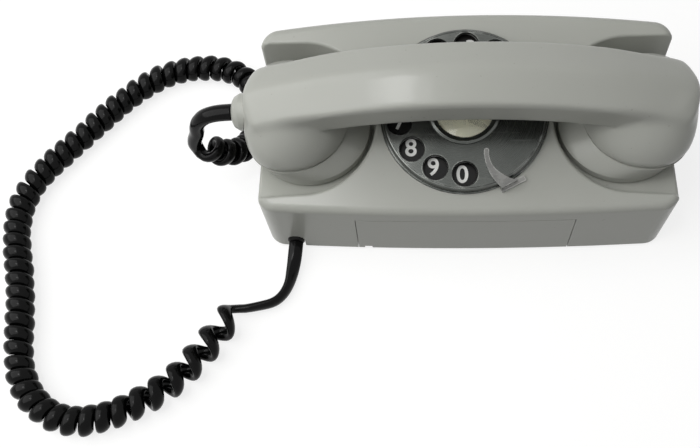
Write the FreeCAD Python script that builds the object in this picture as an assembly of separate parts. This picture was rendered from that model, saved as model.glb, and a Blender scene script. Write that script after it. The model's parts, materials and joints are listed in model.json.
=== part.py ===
import FreeCAD, Part
import math
import os
from FreeCAD import Placement, Rotation, Vector

# Oblong desk telephone. X runs to the right as the caller sees it, the front faces -Y,
# Z is up, and the origin is on the table under the centre of the dial. Millimetres.

# Base housing
face_tilt = 20.0            # slope of the face, falling to the front
face_height = 60.0          # centre of the dial above the table
wall = 2.5
housing_bottom = 2.5
housing_draft = 0.022       # walls lean in towards the bottom
half_width_front = 104.8
half_width_back = 103.3
front_depth = 48.9          # dial centre to the front lip, at lip height
back_depth = 49.3
lip_height = 45.0
front_bow = 3.2
back_bow = 6.5
plan_corner = 10.0
face_edge_round = 4.5

# Cradle wells and the handset's own upright axis
handset_tilt = 6.0
seat_shift = -5.0           # seat centre, along the face from the dial centre
seat_drop = 8.0             # and below the face
well_centre = 81.5
well_floor = -7.55
well_radius = 35.3
well_draft = 0.17
well_shift = -0.6
well_flare = 3.0            # the wells widen to the front at their open ends
well_corner = 2.5
well_rim_round = 1.6

# Front access panel and cord openings
panel_half = 55.0
panel_top = 34.0
panel_gap = 0.35
notch_x = -88.0
notch_radius = 4.6
notch_height = 8.6
notch_front = -47.2
inlet_x = 62.0
inlet_height = 16.0
inlet_radius = 5.0

# Base plate, feet and screws
plate_bottom = 4.2
plate_thick = 1.5
foot_radius = 7.0
foot_x, foot_y = 68.0, 31.0
post_x, post_y = 88.0, 30.0
post_radius = 4.0
screw_radius = 1.5

# Dial, measured along its own axis from the face
opening_radius = 42.2
bezel_radius = 42.0
wheel_radius = 41.2
wheel_low, wheel_high = 2.2, 4.2
hole_count = 10
hole_pitch = 26.0
zero_angle = 269.8          # last finger hole, counted from the right, anticlockwise
hole_circle = 32.8
hole_radius = 6.0
hole_rim = 6.6
card_radius = 14.6
card_ring_radius = 18.2
shaft_radius = 3.0
running_gap = 0.05
stop_angle = 297.0
gear_module = 1.0
main_teeth, pinion_teeth = 48, 8
worm_wheel_teeth = 20
worm_wheel_module = 0.8
pillar_angles = (60, 180, 310)
train_angle = 220.0         # direction of the intermediate arbor from the main shaft
worm_radius = 2.6

# Hookswitch
plunger_x = 62.0
plunger_radius = 3.5
plunger_top = -7.52
lever_y, lever_z = 30.0, 16.0
lever_radius = 1.8

# Ringer
ringer_x = -48.0

# Handset, measured from its seat
cup_centre = 78.0
cap_radius = 30.6
neck_centre, neck_radius = 81.0, 18.0
arch_radius = 295.0
ridge_height = 55.6
eave_half, eave_height = 17.2, 49.6
sole_half, sole_height = 16.2, 33.0
arch_angle = 22.4
end_radius, end_reach = 30.0, 107.6     # plan of the handset's rounded ends
ridge_round = 10.0
gland_height, gland_back = 20.0, -2.0
gland_end = -114.0

# Curly cord: a plain tail at each end and the curled stretch between, lying on the table
strand_radius = 2.4
curl_outer = 7.6            # over the curls
curl_rest = curl_outer + 0.3
tail_gap = 0.05             # between the ends of the tails and of the curled stretch
handset_tail_route = [
    (-121.4, -6.0, 70.3), (-129.4, -5.9, 67.2), (-135.0, -5.6, 60.6), (-137.4, -5.3, 52.2),
]
curl_route = [
    (-137.8, -4.9, 43.4), (-136.6, -4.0, 35.0), (-132.8, -2.0, 27.4), (-126.8, 1.8, 20.6), (-120.4, 8.0, 15.0),
    (-116.4, 17.0, 10.8), (-114.8, 28.0, curl_rest), (-115.2, 41.0, curl_rest),
    (-118.2, 53.0, curl_rest), (-124.6, 62.5, curl_rest), (-134.0, 68.6, curl_rest),
    (-145.5, 71.4, curl_rest), (-158.0, 71.4, curl_rest), (-170.5, 68.6, curl_rest),
    (-183.0, 62.2, curl_rest), (-195.5, 50.8, curl_rest), (-206.8, 38.0, curl_rest),
    (-218.2, 23.0, curl_rest), (-230.0, 9.0, curl_rest), (-239.2, -3.8, curl_rest),
    (-244.8, -17.0, curl_rest), (-246.0, -31.0, curl_rest), (-243.6, -46.0, curl_rest),
    (-238.2, -63.0, curl_rest), (-233.4, -81.0, curl_rest), (-230.2, -100.0, curl_rest),
    (-226.6, -117.0, curl_rest), (-219.6, -130.5, curl_rest), (-208.5, -140.5, curl_rest),
    (-195.0, -145.4, curl_rest), (-181.0, -144.0, curl_rest), (-167.0, -138.6, curl_rest),
    (-154.0, -131.2, curl_rest), (-143.0, -122.4, curl_rest), (-133.0, -111.0, curl_rest),
    (-122.6, -97.4, curl_rest),
]
base_tail_route = [
    (-111.6, -86.6, curl_rest), (-103.4, -82.8, 4.8), (-95.4, -78.2, 3.0), (-90.6, -69.6, 3.6),
    (-88.6, -58.6, 7.0),
]

sin_face = math.sin(math.radians(face_tilt))
cos_face = math.cos(math.radians(face_tilt))
sin_seat = math.sin(math.radians(handset_tilt))
cos_seat = math.cos(math.radians(handset_tilt))
x_axis = Vector(1, 0, 0)
y_axis = Vector(0, 1, 0)
z_axis = Vector(0, 0, 1)
origin = Vector(0, 0, 0)
face_normal = Vector(0, -sin_face, cos_face)
dial_centre = Vector(0, 0, face_height)
seat_centre = dial_centre + Vector(
    0,
    seat_shift * cos_face + seat_drop * sin_face,
    seat_shift * sin_face - seat_drop * cos_face,
)
face_place = Placement(dial_centre, Rotation(x_axis, face_tilt))
seat_place = Placement(seat_centre, Rotation(x_axis, handset_tilt))


def placed(shape, place):
    moved = shape.copy()
    moved.Placement = place.multiply(moved.Placement)
    return moved


def on_face(shape):
    return placed(shape, face_place)


def on_seat(shape):
    return placed(shape, seat_place)


def disc(radius, low, high, x=0.0, y=0.0):
    return Part.makeCylinder(radius, high - low, Vector(x, y, low))


def ring(outer, inner, low, high, x=0.0, y=0.0):
    return disc(outer, low, high, x, y).cut(disc(inner, low - 1, high + 1, x, y))


def block(x0, x1, y0, y1, z0, z1):
    return Part.makeBox(x1 - x0, y1 - y0, z1 - z0, Vector(x0, y0, z0))


def rod(start, end, radius):
    run = end - start
    return Part.makeCylinder(radius, run.Length, start, run)


def turned(profile, x=0.0, y=0.0):
    # solid of revolution about an upright axis, from (radius, height) corners
    corners = [Vector(r, 0, h) for r, h in profile]
    face = Part.Face(Part.makePolygon(corners + corners[:1]))
    solid = face.revolve(origin, z_axis, 360)
    solid.translate(Vector(x, y, 0))
    return solid


def edge_middle(edge):
    return edge.valueAt(0.5 * (edge.FirstParameter + edge.LastParameter))


def polar(radius, angle):
    turn = math.radians(angle)
    return radius * math.cos(turn), radius * math.sin(turn)


def fused(shapes):
    return shapes[0].multiFuse(shapes[1:]).removeSplitter()


def plan_wire(height, inset):
    # outline of the base at one height: bowed front and back, straight sides
    lean = (height - lip_height) * housing_draft - inset
    front = half_width_front + lean
    back = half_width_back + lean
    y_front = -front_depth - lean
    y_back = back_depth + lean
    left_front = Vector(-front, y_front + front_bow, height)
    right_front = Vector(front, y_front + front_bow, height)
    right_back = Vector(back, y_back - back_bow, height)
    left_back = Vector(-back, y_back - back_bow, height)
    return Part.Wire([
        Part.Arc(left_front, Vector(0, y_front, height), right_front).toShape(),
        Part.LineSegment(right_front, right_back).toShape(),
        Part.Arc(right_back, Vector(0, y_back, height), left_back).toShape(),
        Part.LineSegment(left_back, left_front).toShape(),
    ])


def wall_solid(inset, bottom):
    # drafted block with rounded plan corners, taller than the housing
    body = Part.makeLoft([plan_wire(bottom, inset), plan_wire(95.0, inset)], True, True)
    upright = [e for e in body.Edges if e.BoundBox.ZLength > 50]
    return body.makeFillet(plan_corner - inset, upright)


def above_face(drop):
    return on_face(block(-200, 200, -200, 200, -drop, 120))


def rounded_wedge():
    wedge = wall_solid(0.0, housing_bottom).cut(above_face(0.0))
    rim = []
    for edge in wedge.Edges:
        heights = [(v.Point - dial_centre).dot(face_normal) for v in edge.Vertexes]
        if max(abs(h) for h in heights) < 1e-4:
            rim.append(edge)
    return wedge.makeFillet(face_edge_round, rim)


def well_wire(side, level, grow):
    # U-shaped outline of a well, open to the side of the base
    radius = well_radius + (level - well_floor) * well_draft + grow
    centre = side * well_centre
    outer = side * 130.0
    low, high = well_shift - radius, well_shift + radius
    corners = [
        Vector(outer, low - well_flare, level),
        Vector(centre, low, level),
        Vector(centre - side * radius, well_shift, level),
        Vector(centre, high, level),
        Vector(outer, high, level),
    ]
    return Part.Wire([
        Part.LineSegment(corners[0], corners[1]).toShape(),
        Part.Arc(corners[1], corners[2], corners[3]).toShape(),
        Part.LineSegment(corners[3], corners[4]).toShape(),
        Part.LineSegment(corners[4], corners[0]).toShape(),
    ])


def well_space(side, grow):
    floor = well_floor - grow
    body = Part.makeLoft([well_wire(side, floor, grow), well_wire(side, 50.0, grow)], True, True)
    foot = []
    for edge in body.Edges:
        box = edge.BoundBox
        if box.ZMax < floor + 0.01 and box.XLength > 1.0:
            foot.append(edge)
    return on_seat(body.makeFillet(well_corner + grow, foot))


def floor_height(y):
    # height of the well floor above the table, at a distance y from the dial's centre
    return seat_centre.z + well_floor * cos_seat + (y - seat_centre.y) * sin_seat


def screw_posts():
    posts = []
    for x in (-post_x, post_x):
        for y in (-post_y, post_y):
            top = floor_height(y) - 1.0
            posts.append(disc(post_radius, plate_bottom + plate_thick, top, x, y))
    return posts


def dial_posts():
    places = [polar(47.0, angle) for angle in (45, 135, 225, 315)]
    return [on_face(disc(3.5, -7.0, -wall + 0.5, x, y)) for x, y in places]


def cord_notch():
    arch = Part.makeCylinder(notch_radius, 14, Vector(notch_x, -54, notch_height), y_axis)
    slot = block(notch_x - notch_radius, notch_x + notch_radius, -54, -40, -1, notch_height)
    return arch.fuse(slot)


def panel_block(gap):
    return block(-panel_half + gap, panel_half - gap, -60, -40, -1, panel_top - gap)


def rounded_rims(body):
    # softens the wells' edges where they open in the face
    flatten = face_place.inverse()
    rims = []
    for edge in body.Edges:
        spots = [vertex.Point for vertex in edge.Vertexes] + [edge_middle(edge)]
        spots = [flatten.multVec(spot) for spot in spots]
        level = max(abs(spot.z) for spot in spots) < 0.05
        middle = spots[-1]
        if level and 40 < abs(middle.x) < 95 and abs(middle.y) < 43:
            rims.append(edge)
    return body.makeFillet(well_rim_round, rims)


def make_base_housing():
    spaces = [well_space(side, 0.0) for side in (-1, 1)]
    shells = [well_space(side, wall) for side in (-1, 1)]
    cavity = wall_solid(wall, housing_bottom - 4.0).cut(above_face(wall)).cut(shells)
    body = rounded_rims(rounded_wedge().cut(spaces)).cut(cavity)
    body = fused([body] + screw_posts() + dial_posts())
    holes = [on_face(disc(opening_radius, -6.0, 6.0)), cord_notch(), panel_block(0.0)]
    holes.append(Part.makeCylinder(inlet_radius, 20, Vector(inlet_x, 32, inlet_height), y_axis))
    for side in (-1, 1):
        holes.append(on_seat(disc(plunger_radius + running_gap, -14, 0, side * plunger_x)))
        for y in (-post_y, post_y):
            holes.append(disc(screw_radius + 0.1, 0, 20, side * post_x, y))
    for angle in (45, 135, 225, 315):
        x, y = polar(47.0, angle)
        holes.append(on_face(disc(1.3, -9, -3.4, x, y)))
    return body.cut(holes)


def make_front_access_panel():
    skin = wall_solid(0.0, housing_bottom).cut(wall_solid(wall, housing_bottom - 4.0))
    panel = skin.common(panel_block(panel_gap))
    tabs = []
    for side in (-1, 1):
        for z in (10.0, 22.0):
            tabs.append(block(side * 50 - 3, side * 50 + 3, -46.0, -42.2, z - 2, z + 2))
            tabs.append(block(side * 53 - 5, side * 53 + 5, -43.8, -42.2, z - 2, z + 2))
    thumb_notch = block(-51.5, -47.5, -60, -30, -1, 4.2)
    return fused([panel] + tabs).cut(thumb_notch)


def make_base_plate():
    plate = Part.Face(plan_wire(plate_bottom, wall + 0.5)).extrude(Vector(0, 0, plate_thick))
    upright = [e for e in plate.Edges if e.BoundBox.XLength < 0.01 and e.BoundBox.YLength < 0.01]
    plate = plate.makeFillet(plan_corner - wall - 0.5, upright)
    holes = []
    for x in (-post_x, post_x):
        for y in (-post_y, post_y):
            holes.append(disc(screw_radius + 0.2, 0, 10, x, y))
    return plate.cut(holes)


def make_rubber_feet():
    profile = [(0, 0), (foot_radius - 0.8, 0), (foot_radius, 0.8), (foot_radius - 0.4, plate_bottom)]
    profile.append((0, plate_bottom))
    feet = [turned(profile, x, y) for x in (-foot_x, foot_x) for y in (-foot_y, foot_y)]
    return Part.makeCompound(feet)


def make_base_plate_screws():
    top = plate_bottom + plate_thick + 12
    profile = [(0, 2.4), (1.8, 2.4), (3.0, 3.2), (3.0, plate_bottom), (screw_radius, plate_bottom)]
    profile += [(screw_radius, top), (0, top)]
    spots = [(x, y) for x in (-post_x, post_x) for y in (-post_y, post_y)]
    return Part.makeCompound([turned(profile, x, y) for x, y in spots])


def make_handset_cord_grommet():
    bore = strand_radius + 0.2
    profile = [(bore, 0), (3.6, 0), (4.5, 1.0), (4.5, 4.1), (bore, 4.1)]
    bush = turned(profile)
    bush.rotate(origin, x_axis, -90)
    bush.translate(Vector(notch_x, notch_front, notch_height))
    return bush


def make_line_inlet_grommet():
    back = 46.3
    profile = [(2.4, -4.7), (6.4, -4.7), (6.4, -3.2), (4.9, -3.2), (4.9, 0.7), (6.4, 0.7), (5.8, 2.0)]
    profile.append((2.4, 2.0))
    bush = turned(profile)
    bush.rotate(origin, x_axis, -90)
    bush.translate(Vector(inlet_x, back, inlet_height))
    return bush


def make_dial_bezel_ring():
    profile = [(40.6, -2.2), (bezel_radius, -2.2), (bezel_radius, 0.1), (41.7, 0.4), (40.9, 0.4)]
    profile.append((40.6, 0.1))
    return on_face(turned(profile))


def make_number_plate():
    return on_face(ring(40.4, 9.0, -2.2, -1.0))


def finger_angles():
    return [zero_angle - hole_pitch * step for step in range(hole_count)]


def make_finger_wheel():
    # flat disc with a beaded edge turned down towards the face
    edge = wheel_radius
    profile = [(shaft_radius, wheel_low), (edge - 1.8, wheel_low), (edge - 1.0, 1.1), (edge, 0.9)]
    profile += [(edge, 2.6), (edge - 0.3, 3.8), (edge - 0.9, 4.5), (edge - 1.4, 4.6), (edge - 1.7, wheel_high)]
    profile.append((shaft_radius, wheel_high))
    wheel = turned(profile)
    holes = []
    for angle in finger_angles():
        x, y = polar(hole_circle, angle)
        holes.append(disc(hole_radius, 0, 6, x, y))
        bevel = Part.makeCone(hole_radius - 0.2, hole_rim, 1.4, Vector(x, y, wheel_high - 1.2))
        holes.append(bevel)
    return on_face(wheel.cut(holes))


def make_dial_card():
    return on_face(disc(card_radius, wheel_high, wheel_high + 0.4))


def make_card_cover():
    low = wheel_high + 0.4
    profile = [(0, low), (card_radius, low), (card_radius, low + 0.5), (10.0, low + 1.3), (5.0, low + 1.6)]
    profile.append((0, low + 1.7))
    return on_face(turned(profile))


def make_card_ring():
    inner = card_radius + 0.2
    outer = card_ring_radius
    profile = [(inner, wheel_high), (outer, wheel_high), (outer - 0.3, wheel_high + 0.9)]
    profile += [(outer - 1.4, wheel_high + 1.6), (inner + 0.5, wheel_high + 1.4), (inner, 5.4)]
    return on_face(turned(profile))


def make_finger_stop():
    # pressed steel hook: foot on the face beside the wheel, riser, and an arm curving in over the wheel
    foot = block(42.5, 45.2, -2.6, 10.4, 0.0, 1.3)
    riser = block(42.5, 43.7, -2.6, 6.2, 0.0, 6.0)
    spots = [
        Vector(43.7, -2.6, 5.0), Vector(33.0, -4.3, 5.0), Vector(23.4, -1.7, 5.0), Vector(22.7, -0.3, 5.0),
        Vector(24.2, 0.7, 5.0), Vector(31.6, -1.3, 5.0), Vector(37.6, 0.8, 5.0), Vector(41.0, 3.0, 5.0),
        Vector(43.7, 6.2, 5.0),
    ]
    edges = [
        Part.Arc(spots[0], spots[1], spots[2]).toShape(),
        Part.Arc(spots[2], spots[3], spots[4]).toShape(),
        Part.Arc(spots[4], spots[5], spots[6]).toShape(),
        Part.Arc(spots[6], spots[7], spots[8]).toShape(),
        Part.LineSegment(spots[8], spots[0]).toShape(),
    ]
    arm = Part.Face(Part.Wire(edges)).extrude(Vector(0, 0, 1.0))
    hook = fused([foot, riser, arm])
    hook.rotate(origin, z_axis, stop_angle)
    return on_face(hook)


def make_dial_frame():
    profile = [(shaft_radius + running_gap, -8.6), (6.0, -8.6), (6.0, -7.0), (40.6, -7.0), (40.6, -2.2)]
    profile += [(38.0, -2.2), (38.0, -5.4), (6.0, -5.4), (6.0, -3.0), (shaft_radius + running_gap, -3.0)]
    parts = [turned(profile)]
    for angle in (45, 135, 225, 315):
        x, y = polar(47.0, angle)
        tongue = block(38.5, 47.0, -4.0, 4.0, -8.4, -7.0)
        tongue.rotate(origin, z_axis, angle)
        parts += [tongue, disc(4.0, -8.4, -7.0, x, y)]
    for angle in pillar_angles:
        x, y = polar(31.0, angle)
        parts.append(disc(2.4, -30.0, -7.0, x, y))
    frame = fused(parts)
    holes = [disc(1.6, -10, 0, *polar(47.0, angle)) for angle in (45, 135, 225, 315)]
    holes.append(disc(1.5 + running_gap, -10, 0, *arbor_place()))
    return on_face(frame.cut(holes))


def make_dial_frame_screws():
    profile = [(0, -10.0), (2.2, -10.0), (2.6, -9.4), (2.6, -8.4), (1.2, -8.4), (1.2, -4.0), (0, -4.0)]
    spots = [polar(47.0, angle) for angle in (45, 135, 225, 315)]
    return Part.makeCompound([on_face(turned(profile, x, y)) for x, y in spots])


def make_dial_bridge():
    # rear bearing plate on the three pillars
    arms = []
    for angle in pillar_angles:
        x, y = polar(31.0, angle)
        arm = block(0, 31.0, -4.0, 4.0, -31.6, -30.0)
        arm.rotate(origin, z_axis, angle)
        arms += [arm, disc(4.0, -31.6, -30.0, x, y)]
    arms.append(disc(8.0, -31.6, -28.4))
    plate = fused(arms)
    return on_face(plate.cut(disc(shaft_radius + running_gap, -40, 0)))


def make_dial_main_shaft():
    profile = [(0, -33.0), (shaft_radius, -33.0), (shaft_radius, -1.2), (7.0, -1.2), (7.0, wheel_low)]
    profile += [(shaft_radius, wheel_low), (shaft_radius, wheel_high), (0, wheel_high)]
    return on_face(turned(profile))


def gear_face(module, teeth, turn):
    # straight-flanked teeth with working clearance, one tooth pointing along the turn angle
    pitch = module * teeth / 2.0
    levels = [(pitch - 1.15 * module, 0.30), (pitch + 0.75 * module, 0.13)]
    corners = []
    for tooth in range(teeth):
        middle = turn + tooth * 360.0 / teeth
        for radius, share in ((levels[0][0], -levels[0][1]), (levels[1][0], -levels[1][1])):
            x, y = polar(radius, middle + share * 360.0 / teeth)
            corners.append(Vector(x, y, 0))
        for radius, share in ((levels[1][0], levels[1][1]), (levels[0][0], levels[0][1])):
            x, y = polar(radius, middle + share * 360.0 / teeth)
            corners.append(Vector(x, y, 0))
    return Part.Face(Part.makePolygon(corners + corners[:1]))


def arbor_place():
    return polar(gear_module * (main_teeth + pinion_teeth) / 2.0, train_angle)


def make_main_gear():
    gear = gear_face(gear_module, main_teeth, train_angle).extrude(Vector(0, 0, 2.0))
    gear.translate(Vector(0, 0, -11.4))
    boss = disc(6.5, -12.4, -8.8)
    return on_face(gear.fuse(boss).cut(disc(shaft_radius, -20, 0)).removeSplitter())


def make_pulse_cam():
    cam = disc(15.0, -15.0, -13.0)
    notches = [disc(1.7, -16, -12, *polar(15.4, angle)) for angle in finger_angles()]
    cam = cam.fuse(disc(6.5, -15.0, -12.4)).cut(notches)
    return on_face(cam.cut(disc(shaft_radius, -20, 0)).removeSplitter())


def make_mainspring_barrel():
    # drum on the bridge's boss, holding the return spring
    cup = ring(14.0, 13.0, -28.4, -18.0).fuse(ring(14.0, 6.0, -28.4, -27.4))
    return on_face(cup.removeSplitter())


def half_turn_arc(x, radius, sign):
    start = Vector(x - sign * radius, 0, 0)
    middle = Vector(x, sign * radius, 0)
    end = Vector(x + sign * radius, 0, 0)
    return Part.Arc(start, middle, end).toShape()


def make_mainspring():
    # flat strip wound out from the shaft to the drum
    half_turns = 8
    grow = 1.31
    strip = 0.35
    inner = []
    outer = []
    for half in range(half_turns):
        sign = 1 if half % 2 == 0 else -1
        x = -0.5 * grow * (half % 2)
        radius = 3.4 + 0.5 * grow * half
        inner.append(half_turn_arc(x, radius, sign))
        outer.append(half_turn_arc(x, radius + strip, sign))
    ends = []
    for turn, corner in ((0, 0), (-1, -1)):
        near = inner[turn].Vertexes[corner].Point
        far = outer[turn].Vertexes[corner].Point
        ends.append(Part.LineSegment(near, far).toShape())
    outline = Part.Wire(Part.__sortEdges__(inner + outer + ends))
    spring = Part.Face(outline).extrude(Vector(0, 0, 6.0))
    spring.translate(Vector(0, 0, -26.0))
    return on_face(spring)


def make_intermediate_gear():
    x, y = arbor_place()
    wheel = gear_face(worm_wheel_module, worm_wheel_teeth, 0).extrude(Vector(0, 0, 3.0))
    wheel.translate(Vector(0, 0, -23.5))
    turn = train_angle + 180.0 + 180.0 / pinion_teeth
    pinion = gear_face(gear_module, pinion_teeth, turn).extrude(Vector(0, 0, 4.0))
    pinion.translate(Vector(0, 0, -12.4))
    arbor = disc(1.5, -29.8, -5.6)
    gear = fused([wheel, pinion, arbor])
    gear.translate(Vector(x, y, 0))
    return on_face(gear)


def governor_line():
    x, y = arbor_place()
    drop = worm_wheel_module * worm_wheel_teeth / 2.0 + 0.75 * worm_wheel_module + worm_radius + 0.3
    return x, y - drop, -22.0


def make_governor_worm_shaft():
    x, y, h = governor_line()
    core = rod(Vector(x - 9, y, h), Vector(17.0, y, h), 1.2)
    worm = rod(Vector(x - 5, y, h), Vector(x + 5, y, h), worm_radius)
    hub = rod(Vector(5.0, y, h), Vector(8.0, y, h), 2.6)
    return on_face(fused([core, worm, hub]))


def make_governor_weights():
    # two curved fly weights that swing out and rub inside the cup
    x, y, h = governor_line()
    weights = []
    for side in (-1, 1):
        weight = Part.makeCylinder(5.6, 3.0, Vector(5.0, y, h), x_axis)
        weight = weight.cut(Part.makeCylinder(2.6, 5.0, Vector(4.0, y, h), x_axis))
        half = block(0, 20, y - 20, y + 20, 0.4, 20)
        half.translate(Vector(0, 0, h if side > 0 else h - 20.4))
        weights.append(on_face(weight.common(half)))
    return Part.makeCompound(weights)


def make_governor_cup():
    x, y, h = governor_line()
    cup = Part.makeCylinder(7.4, 9.0, Vector(3.6, y, h), x_axis)
    cup = cup.cut(Part.makeCylinder(6.4, 8.0, Vector(2.6, y, h), x_axis))
    bearing = Part.makeCylinder(2.6, 3.0, Vector(11.6, y, h), x_axis)
    strap = block(10.6, 12.6, y - 4, y + 4, h + 6.0, -7.0)
    cup = fused([cup, bearing, strap])
    return on_face(cup.cut(Part.makeCylinder(1.2 + running_gap, 30, Vector(0, y, h), x_axis)))


def make_governor_bearing():
    # bracket under the frame: carries the worm's free end and the arbor's foot
    x, y, h = governor_line()
    ax, ay = arbor_place()
    plate = block(x - 9.0, x - 6.6, y - 4.0, y + 4.0, h - 3.0, -8.4)
    foot = block(x - 9.0, ax + 4.0, ay - 3.5, ay + 3.5, -30.5, -29.0)
    side = block(x - 9.0, x - 6.6, y - 4.0, ay + 3.5, -30.5, h - 2.0)
    bracket = fused([plate, foot, side])
    bracket = bracket.cut(rod(Vector(x - 20, y, h), Vector(x, y, h), 1.2 + running_gap))
    return on_face(bracket.cut(disc(1.5 + running_gap, -40, -20, ax, ay)))


def make_pulse_contact_stack():
    stack = block(17.0, 31.0, 12.0, 19.0, -19.0, -12.4)
    return on_face(fused([stack, block(26.5, 31.0, 12.0, 19.0, -19.0, -7.0)]))


def make_pulse_contact_springs():
    leaves = [block(9.0 - 2 * n, 17.0, 16.2 + 1.1 * n, 16.6 + 1.1 * n, -16.4, -12.6) for n in range(2)]
    return Part.makeCompound([on_face(leaf) for leaf in leaves])


def make_hook_plunger(side):
    profile = [(0, -27.0), (2.4, -27.0), (2.4, -17.5), (5.0, -17.5), (5.0, -16.2), (plunger_radius, -16.2)]
    profile += [(plunger_radius, plunger_top - 1.2), (2.4, plunger_top), (0, plunger_top)]
    return on_seat(turned(profile, side * plunger_x))


def make_hook_plunger_left():
    return make_hook_plunger(-1)


def make_hook_plunger_right():
    return make_hook_plunger(1)


def plunger_foot():
    # where a plunger's lower end stands above the table
    return seat_centre + Vector(0, 27.0 * sin_seat, -27.0 * cos_seat)


def make_hook_lever():
    # torsion rod along the back, with an arm under each plunger
    foot = plunger_foot()
    top = foot.z - 0.5
    parts = [rod(Vector(-72, lever_y, lever_z), Vector(72, lever_y, lever_z), lever_radius)]
    for side in (-1, 1):
        corners = [
            Vector(0, lever_y + 1.0, lever_z - 1.8),
            Vector(0, lever_y + 1.0, lever_z + 1.8),
            Vector(0, foot.y + 3.0, top),
            Vector(0, foot.y - 3.0, top),
            Vector(0, foot.y - 3.0, top - 2.0),
            Vector(0, foot.y + 4.0, top - 2.0),
        ]
        arm = Part.Face(Part.makePolygon(corners + corners[:1])).extrude(Vector(5.0, 0, 0))
        arm.translate(Vector(side * plunger_x - 2.5, 0, 0))
        parts.append(arm)
    return fused(parts)


def make_hook_lever_brackets():
    base = plate_bottom + plate_thick
    brackets = []
    for x in (-70.0, 70.0):
        post = block(x - 1.5, x + 1.5, lever_y - 3.5, lever_y + 3.5, base, lever_z + 3.5)
        bore = Part.makeCylinder(lever_radius + running_gap, 8, Vector(x - 4, lever_y, lever_z), x_axis)
        brackets.append(post.cut(bore))
    return Part.makeCompound(brackets)


def make_hookswitch_contacts():
    base = plate_bottom + plate_thick
    stack = [block(76, 90, 14, 22, base, base + 6.0)]
    for n in range(3):
        low = base + 6.0 + 2.4 * n
        stack.append(block(76, 90, 14, 22, low + 0.4, low + 2.4))
        stack.append(block(66.5, 90, 16, 20, low, low + 0.4))
    return fused(stack)


def make_network_block():
    base = plate_bottom + plate_thick
    body = block(52, 84, -37, -8, base, base + 17.0)
    upright = [e for e in body.Edges if e.BoundBox.ZLength > 10]
    body = body.makeFillet(2.5, upright)
    lid = block(53.5, 82.5, -35.5, -9.5, base + 17.0, base + 18.5)
    return body.fuse(lid).removeSplitter()


def make_terminal_screws():
    top = plate_bottom + plate_thick + 18.5
    screws = []
    for column in range(4):
        for row in range(2):
            screws.append(disc(2.3, top, top + 1.8, 57.5 + 7.0 * column, -31.0 + 17.0 * row))
    return Part.makeCompound(screws)


def gong_spots():
    return [(-80.0, -16.5), (-80.0, 12.0)]


def make_ringer_gongs():
    low = 11.0
    profile = [(2.0, low + 9.0), (5.2, low + 9.0), (9.0, low + 7.0), (10.7, low + 2.0), (11.0, low)]
    profile += [(10.1, low), (9.8, low + 2.0), (8.2, low + 6.2), (4.8, low + 8.0), (2.0, low + 8.0)]
    return Part.makeCompound([turned(profile, x, y) for x, y in gong_spots()])


def make_gong_posts():
    base = plate_bottom + plate_thick
    profile = [(0, base), (3.0, base), (3.0, 19.0), (1.9, 19.0), (1.9, 20.0), (3.4, 20.0), (3.0, 21.6)]
    profile.append((0, 21.6))
    return Part.makeCompound([turned(profile, x, y) for x, y in gong_spots()])


def make_ringer_frame():
    base = plate_bottom + plate_thick
    sole = block(ringer_x - 9, ringer_x + 9, -22, 13, base, base + 1.5)
    cheeks = [block(ringer_x - 7, ringer_x + 7, y, y + 1.5, base, base + 17.0) for y in (-20.0, 9.5)]
    frame = fused([sole] + cheeks)
    core = Part.makeCylinder(2.5, 60, Vector(ringer_x, -30, base + 10.0), y_axis)
    return frame.cut(core)


def make_ringer_coil():
    base = plate_bottom + plate_thick
    axis = Vector(ringer_x, -18.4, base + 10.0)
    winding = Part.makeCylinder(6.4, 24.0, axis + Vector(0, 1.9, 0), y_axis)
    flanges = [Part.makeCylinder(7.6, 1.9, axis + Vector(0, y, 0), y_axis) for y in (0, 25.9)]
    core = Part.makeCylinder(2.4, 31.4, axis - Vector(0, 1.7, 0), y_axis)
    return fused([winding, core] + flanges)


def make_ringer_clapper():
    # pivoted armature arm with a ball between the gongs
    middle = (gong_spots()[0][1] + gong_spots()[1][1]) / 2.0
    arm = block(-80, -66.5, middle - 0.6, middle + 0.6, 13.0, 14.2)
    ball = Part.makeSphere(2.6, Vector(-80, middle, 13.6))
    hub = disc(2.2, 11.4, 16.0, -66.5, middle)
    clapper = fused([arm, ball, hub])
    return clapper.cut(disc(1.2 + running_gap, 0, 30, -66.5, middle))


def make_clapper_pivot():
    middle = (gong_spots()[0][1] + gong_spots()[1][1]) / 2.0
    base = plate_bottom + plate_thick
    profile = [(0, base), (2.6, base), (2.6, 11.0), (1.2, 11.0), (1.2, 17.0), (0, 17.0)]
    return turned(profile, -66.5, middle)


def handle_solid(half_top, half_bottom, ridge, eave, sole, angle):
    # house-shaped section swung about a far centre, which gives the handle its arch
    corners = [
        Vector(0, -half_bottom, sole),
        Vector(0, half_bottom, sole),
        Vector(0, half_top, eave),
        Vector(0, 0, ridge),
        Vector(0, -half_top, eave),
    ]
    section = Part.Face(Part.makePolygon(corners + corners[:1]))
    pivot = Vector(0, 0, ridge_height - arch_radius)
    section.rotate(pivot, y_axis, -angle)
    return section.revolve(pivot, y_axis, 2 * angle)


def cup_wire(side, level, inner, outer, half, roundness):
    # egg-shaped outline: round towards the handle, squarer at the free end
    middle = inner + half
    corner = roundness * half
    reach = outer - corner
    lean = corner * math.sqrt(0.5)
    points = [
        Vector(side * middle, -half, level),
        Vector(side * inner, 0, level),
        Vector(side * middle, half, level),
        Vector(side * reach, half, level),
        Vector(side * (reach + lean), half - corner + lean, level),
        Vector(side * outer, half - corner, level),
        Vector(side * outer, corner - half, level),
        Vector(side * (reach + lean), corner - half - lean, level),
        Vector(side * reach, -half, level),
    ]
    return Part.Wire([
        Part.Arc(points[0], points[1], points[2]).toShape(),
        Part.LineSegment(points[2], points[3]).toShape(),
        Part.Arc(points[3], points[4], points[5]).toShape(),
        Part.LineSegment(points[5], points[6]).toShape(),
        Part.Arc(points[6], points[7], points[8]).toShape(),
        Part.LineSegment(points[8], points[0]).toShape(),
    ])


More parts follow.
